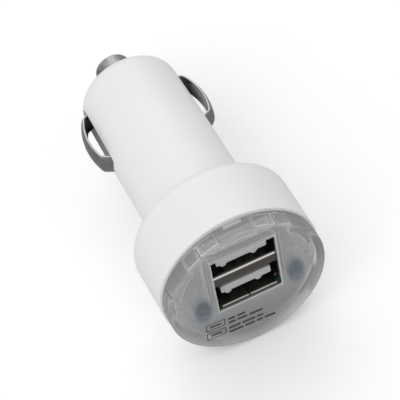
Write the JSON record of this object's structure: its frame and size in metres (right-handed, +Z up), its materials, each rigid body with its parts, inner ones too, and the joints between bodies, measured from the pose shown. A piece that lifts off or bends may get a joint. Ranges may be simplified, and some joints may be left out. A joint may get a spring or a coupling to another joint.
{
  "type": "car usb charger plug",
  "caption": "Plug for a 12 V car socket: round head with a clear front and stacked USB-A ports, barrel with bowed side contacts and a sprung centre contact at the nose.",
  "frame": {"origin": "on the axis of the barrel, in the plane of the shoulder that stops at the socket's rim", "axes": "+Y along the barrel to the nose, +X to the right and +Z up for someone facing the ports"},
  "size_m": [0.032, 0.064, 0.032],
  "materials": {
    "white_plastic": "satin moulded",
    "clear_plastic": "frosted",
    "plated_steel": "nickel plated sheet",
    "grey_plastic": "moulded",
    "gold_plate": "gold flash",
    "green_board": "solder mask",
    "blue_lens": "diffused",
    "tinned_wire": "tinned",
    "capacitor_sleeve": "shrink sleeve",
    "ferrite": "sintered",
    "copper_wire": "enamelled",
    "black_epoxy": "moulded",
    "tan_ceramic": "sintered",
    "nickel": "nickel plated",
    "spring_steel": "drawn wire"
  },
  "bodies": {
    "plug": {"housing": "white_plastic", "front_cap": "clear_plastic", "usb_shell": "plated_steel", "usb_divider": "plated_steel", "upper_insulator": "grey_plastic", "lower_insulator": "grey_plastic", "upper_contacts": "gold_plate", "lower_contacts": "gold_plate", "circuit_board": "green_board", "left_lamp": "blue_lens", "right_lamp": "blue_lens", "lamp_leads": "tinned_wire", "input_capacitor": "capacitor_sleeve", "output_capacitor": "capacitor_sleeve", "capacitor_leads": "tinned_wire", "choke_core": "ferrite", "choke_winding": "copper_wire", "converter_chip": "black_epoxy", "chip_leads": "tinned_wire", "catch_diode": "black_epoxy", "chip_resistors": "black_epoxy", "ceramic_capacitors": "tan_ceramic", "tip_spring": "spring_steel", "spring_seat": "nickel"},
    "tip": {"tip_contact": "nickel"},
    "right_spring": {"right_contact": "nickel"},
    "left_spring": {"left_contact": "nickel"}
  },
  "joints": [
    {"name": "tip_press", "type": "slide", "parent": "plug", "child": "tip", "axis": [0, -1, 0], "range_m": [0, 0.003], "stiffness_N_per_m": 1500, "springref_m": -0.002, "deforming": ["tip_spring"]},
    {"name": "right_press", "type": "slide", "parent": "plug", "child": "right_spring", "axis": [-1, 0, 0], "range_m": [0, 0.0028], "stiffness_N_per_m": 3000, "springref_m": -0.001},
    {"name": "left_press", "type": "slide", "parent": "plug", "child": "left_spring", "axis": [1, 0, 0], "range_m": [0, 0.0028], "stiffness_N_per_m": 3000, "springref_m": -0.001}
  ]
}
